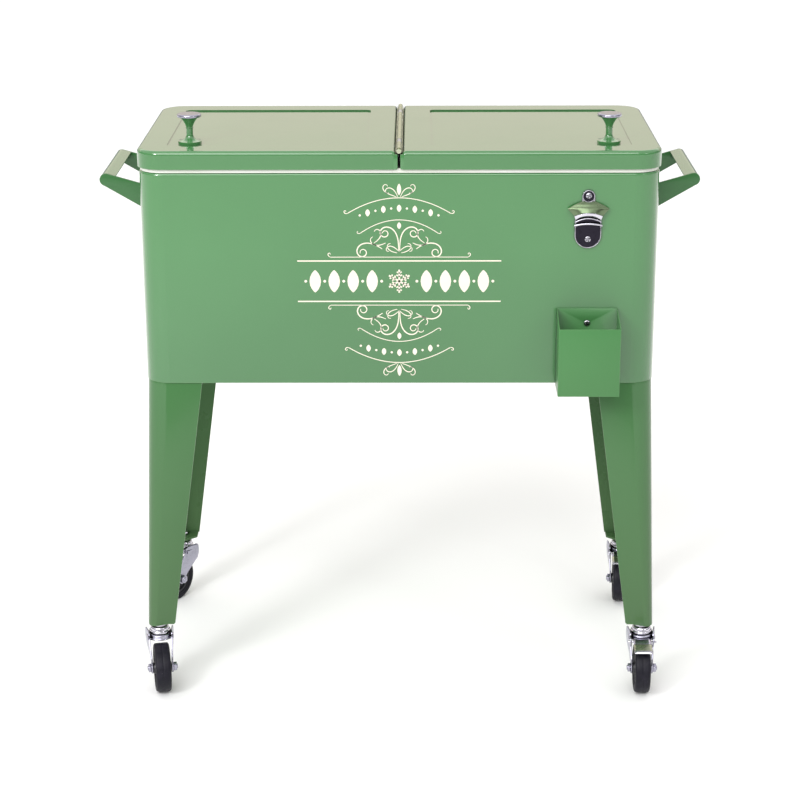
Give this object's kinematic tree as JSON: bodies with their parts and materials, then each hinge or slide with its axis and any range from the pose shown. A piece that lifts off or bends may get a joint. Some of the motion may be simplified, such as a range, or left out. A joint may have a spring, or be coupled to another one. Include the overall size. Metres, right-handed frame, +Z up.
{
  "type": "rolling patio cooler chest",
  "caption": "Insulated steel cooler tub on tapered legs with swivel casters, a centre-hinged split lid, end handles, a wall bottle opener and a cap box.",
  "frame": {"origin": "on the floor below the middle of the overall footprint", "axes": "+Z up, -Y towards the front panel, +X towards the end with the bottle opener"},
  "size_m": [0.9, 0.4465, 0.8935],
  "materials": {
    "green_paint": "gloss powder coat",
    "lid_paint": "high-gloss powder coat",
    "knob_lacquer": "gloss",
    "chrome": "polished",
    "zinc_steel": "zinc plated",
    "black_rubber": "matt",
    "black_plastic": "satin",
    "white_plastic": "satin",
    "foam_core": "foam"
  },
  "bodies": {
    "chest": {"bottle_opener": "chrome", "bottom_pan": "green_paint", "cap_catcher": "green_paint", "centre_crossbar": "zinc_steel", "drain_nut": "black_plastic", "drain_spout": "black_plastic", "front_left_caster_race": "chrome", "front_left_leg": "green_paint", "front_right_caster_race": "chrome", "front_right_leg": "green_paint", "front_screws": "chrome", "handle_screws": "chrome", "hinge_pin": "zinc_steel", "left_handle_arms": "green_paint", "left_handle_grip": "green_paint", "leg_bolts": "chrome", "rear_left_caster_race": "chrome", "rear_left_leg": "green_paint", "rear_right_caster_race": "chrome", "rear_right_leg": "green_paint", "right_handle_arms": "green_paint", "right_handle_grip": "green_paint", "rim_frame": "white_plastic", "tub_insulation": "foam_core", "tub_liner": "white_plastic", "tub_shell": "green_paint"},
    "left_lid": {"left_lid_skin": "lid_paint", "left_lid_liner": "white_plastic", "left_lid_foam": "foam_core", "left_hinge_leaf": "zinc_steel", "left_knob": "knob_lacquer", "left_knob_cap": "chrome", "left_knob_screw": "chrome"},
    "right_lid": {"right_lid_skin": "lid_paint", "right_lid_liner": "white_plastic", "right_lid_foam": "foam_core", "right_hinge_leaf": "zinc_steel", "right_knob": "knob_lacquer", "right_knob_cap": "chrome", "right_knob_screw": "chrome"},
    "front_left_caster": {"front_left_fork": "chrome", "front_left_axle_bolt": "chrome"},
    "front_left_wheel": {"front_left_wheel_core": "black_plastic", "front_left_tyre": "black_rubber"},
    "front_right_caster": {"front_right_fork": "chrome", "front_right_axle_bolt": "chrome"},
    "front_right_wheel": {"front_right_wheel_core": "black_plastic", "front_right_tyre": "black_rubber"},
    "front_right_pedal": {"front_right_brake_pedal": "chrome"},
    "rear_left_caster": {"rear_left_fork": "chrome", "rear_left_axle_bolt": "chrome"},
    "rear_left_wheel": {"rear_left_wheel_core": "black_plastic", "rear_left_tyre": "black_rubber"},
    "rear_right_caster": {"rear_right_fork": "chrome", "rear_right_axle_bolt": "chrome"},
    "rear_right_wheel": {"rear_right_wheel_core": "black_plastic", "rear_right_tyre": "black_rubber"},
    "rear_right_pedal": {"rear_right_brake_pedal": "chrome"},
    "drain_washer": {"drain_seal": "black_rubber"},
    "drain_screw_cap": {"drain_cap": "black_plastic"}
  },
  "joints": [
    {"name": "left_lid_hinge", "type": "hinge", "parent": "chest", "child": "left_lid", "pos_m": [0, 0.02265, 0.85], "axis": [0, 1, 0], "range_deg": [0, 78]},
    {"name": "right_lid_hinge", "type": "hinge", "parent": "chest", "child": "right_lid", "pos_m": [0, 0.02265, 0.85], "axis": [0, -1, 0], "range_deg": [0, 78]},
    {"name": "front_left_swivel", "type": "hinge", "parent": "chest", "child": "front_left_caster", "pos_m": [-0.3765, -0.15435, 0.085], "axis": [0, 0, 1], "continuous": true},
    {"name": "front_left_roll", "type": "hinge", "parent": "front_left_caster", "child": "front_left_wheel", "pos_m": [-0.37135, -0.18085, 0.038], "axis": [0.9816, 0.1908, 0], "continuous": true},
    {"name": "front_right_swivel", "type": "hinge", "parent": "chest", "child": "front_right_caster", "pos_m": [0.3765, -0.15435, 0.085], "axis": [0, 0, 1], "continuous": true},
    {"name": "front_right_roll", "type": "hinge", "parent": "front_right_caster", "child": "front_right_wheel", "pos_m": [0.37579, -0.18134, 0.038], "axis": [0.9997, -0.0262, 0], "continuous": true},
    {"name": "front_right_brake", "type": "hinge", "parent": "front_right_caster", "child": "front_right_pedal", "pos_m": [0.37585, -0.17934, 0.081], "axis": [0.9997, -0.0262, 0], "range_deg": [0, 5], "stiffness_Nm_per_rad": 0.6, "springref_deg": -2.86},
    {"name": "rear_left_swivel", "type": "hinge", "parent": "chest", "child": "rear_left_caster", "pos_m": [-0.3765, 0.19965, 0.085], "axis": [0, 0, 1], "continuous": true},
    {"name": "rear_left_roll", "type": "hinge", "parent": "rear_left_caster", "child": "rear_left_wheel", "pos_m": [-0.39121, 0.17701, 0.038], "axis": [0.8387, -0.5446, 0], "continuous": true},
    {"name": "rear_right_swivel", "type": "hinge", "parent": "chest", "child": "rear_right_caster", "pos_m": [0.3765, 0.19965, 0.085], "axis": [0, 0, 1], "continuous": true},
    {"name": "rear_right_roll", "type": "hinge", "parent": "rear_right_caster", "child": "rear_right_wheel", "pos_m": [0.37485, 0.1727, 0.038], "axis": [0.9981, -0.061, 0], "continuous": true},
    {"name": "rear_right_brake", "type": "hinge", "parent": "rear_right_caster", "child": "rear_right_pedal", "pos_m": [0.37497, 0.1747, 0.081], "axis": [0.9981, -0.061, 0], "range_deg": [0, 5], "stiffness_Nm_per_rad": 0.6, "springref_deg": -2.86},
    {"name": "drain_washer_travel", "type": "slide", "parent": "chest", "child": "drain_washer", "axis": [0, 0, -1], "range_m": [0, 0.009]},
    {"name": "drain_cap_turn", "type": "hinge", "parent": "drain_washer", "child": "drain_screw_cap", "pos_m": [0, 0.14265, 0.476], "axis": [0, 0, -1], "range_deg": [0, 1080]}
  ],
  "couplings": [
    {"joint": "drain_cap_turn", "follows": "drain_washer_travel", "rad_per_m": 2094.4}
  ]
}
